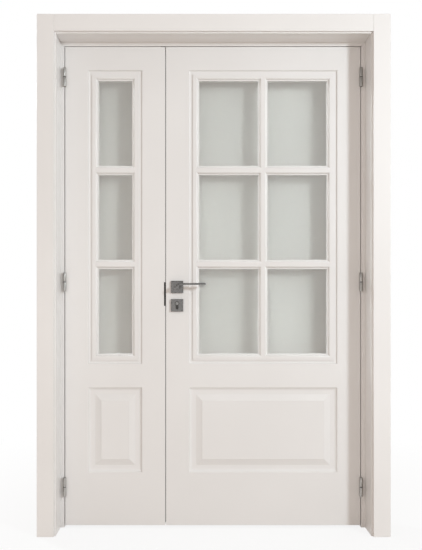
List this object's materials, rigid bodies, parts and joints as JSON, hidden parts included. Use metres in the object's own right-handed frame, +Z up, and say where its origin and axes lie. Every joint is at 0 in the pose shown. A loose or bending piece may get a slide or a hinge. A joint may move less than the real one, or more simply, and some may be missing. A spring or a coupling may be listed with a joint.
{
  "type": "interior door",
  "caption": "White lacquered interior door set: wide and narrow hinged leaves with satin glass above raised panels, lever handles, lined frame and casings.",
  "frame": {"origin": "floor level, middle of the doorway's width and of the wall's thickness", "axes": "+Z up, +Y from the front, where the leaves open to, to the rear, +X to the right seen from the front"},
  "size_m": [1.445, 0.224, 2.136],
  "materials": {
    "lacquer": "satin white lacquer",
    "satin_glass": "satin",
    "seal": "matte",
    "nylon": "matte",
    "steel": "satin nickel",
    "brass": "satin",
    "dark_metal": "satin black",
    "satin_chrome": "satin"
  },
  "bodies": {
    "frame": {"jamb_left": "lacquer", "jamb_right": "lacquer", "jamb_head": "lacquer", "stop_left": "lacquer", "stop_right": "lacquer", "stop_head": "lacquer", "lining_left": "lacquer", "lining_right": "lacquer", "lining_head": "lacquer", "front_casing_left": "lacquer", "front_casing_right": "lacquer", "front_casing_head": "lacquer", "rear_casing_left": "lacquer", "rear_casing_right": "lacquer", "rear_casing_head": "lacquer", "rebate_seal": "seal", "head_keep": "steel", "left_hinge_frame_halves": "steel", "left_hinge_pins": "steel", "left_hinge_rings": "nylon", "right_hinge_frame_halves": "steel", "right_hinge_pins": "steel", "right_hinge_rings": "nylon"},
    "inactive_leaf": {"left_hinge_leaf_halves": "steel", "inactive_slab": "lacquer", "inactive_glass": "satin_glass", "inactive_front_beads": "lacquer", "inactive_rear_beads": "lacquer", "inactive_front_bars": "lacquer", "inactive_rear_bars": "lacquer", "strike_plate": "dark_metal", "upper_bolt_case": "steel", "lower_bolt_case": "steel"},
    "active_leaf": {"right_hinge_leaf_halves": "steel", "active_slab": "lacquer", "active_glass": "satin_glass", "active_front_beads": "lacquer", "active_rear_beads": "lacquer", "active_front_bars": "lacquer", "active_rear_bars": "lacquer", "lock_case": "steel", "lock_face_plate": "steel", "front_rosette": "satin_chrome", "rear_rosette": "satin_chrome", "front_rosette_base": "nylon", "rear_rosette_base": "nylon", "front_escutcheon": "satin_chrome", "rear_escutcheon": "satin_chrome", "cylinder_body": "brass"},
    "handles": {"follower": "steel", "spindle": "steel", "front_lever": "satin_chrome", "rear_lever": "satin_chrome"},
    "latch": {"latch_bolt": "brass"},
    "dead_bolt": {"dead_bolt": "brass"},
    "front_key_plug": {"front_plug": "brass", "cylinder_cam": "steel"},
    "rear_key_plug": {"rear_plug": "brass"},
    "upper_bolt": {"upper_bolt_rod": "steel"},
    "lower_bolt": {"lower_bolt_rod": "steel"}
  },
  "joints": [
    {"name": "active_swing", "type": "hinge", "parent": "frame", "child": "active_leaf", "pos_m": [0.628, 0.002, 1], "axis": [0, 0, 1], "range_deg": [0, 100]},
    {"name": "inactive_swing", "type": "hinge", "parent": "frame", "child": "inactive_leaf", "pos_m": [-0.628, 0.002, 1], "axis": [0, 0, -1], "range_deg": [0, 100]},
    {"name": "lever_turn", "type": "hinge", "parent": "active_leaf", "child": "handles", "pos_m": [-0.1515, 0.03, 1.021], "axis": [0, 1, 0], "range_deg": [0, 40], "stiffness_Nm_per_rad": 1, "springref_deg": -34.38},
    {"name": "latch_slide", "type": "slide", "parent": "active_leaf", "child": "latch", "axis": [-1, 0, 0], "range_m": [0, 0.011], "stiffness_N_per_m": 60, "springref_m": -0.01},
    {"name": "front_key_turn", "type": "hinge", "parent": "active_leaf", "child": "front_key_plug", "pos_m": [-0.1515, 0.03, 0.951], "axis": [0, 1, 0], "range_deg": [0, 360]},
    {"name": "dead_bolt_slide", "type": "slide", "parent": "active_leaf", "child": "dead_bolt", "axis": [-1, 0, 0], "range_m": [0, 0.014]},
    {"name": "rear_key_turn", "type": "hinge", "parent": "active_leaf", "child": "rear_key_plug", "pos_m": [-0.1515, 0.03, 0.951], "axis": [0, 1, 0], "range_deg": [0, 360]},
    {"name": "upper_bolt_slide", "type": "slide", "parent": "inactive_leaf", "child": "upper_bolt", "axis": [0, 0, 1], "range_m": [0, 0.018]},
    {"name": "lower_bolt_slide", "type": "slide", "parent": "inactive_leaf", "child": "lower_bolt", "axis": [0, 0, -1], "range_m": [0, 0.018]}
  ],
  "couplings": [
    {"joint": "front_key_turn", "follows": "dead_bolt_slide", "rad_per_m": 448.8}
  ]
}
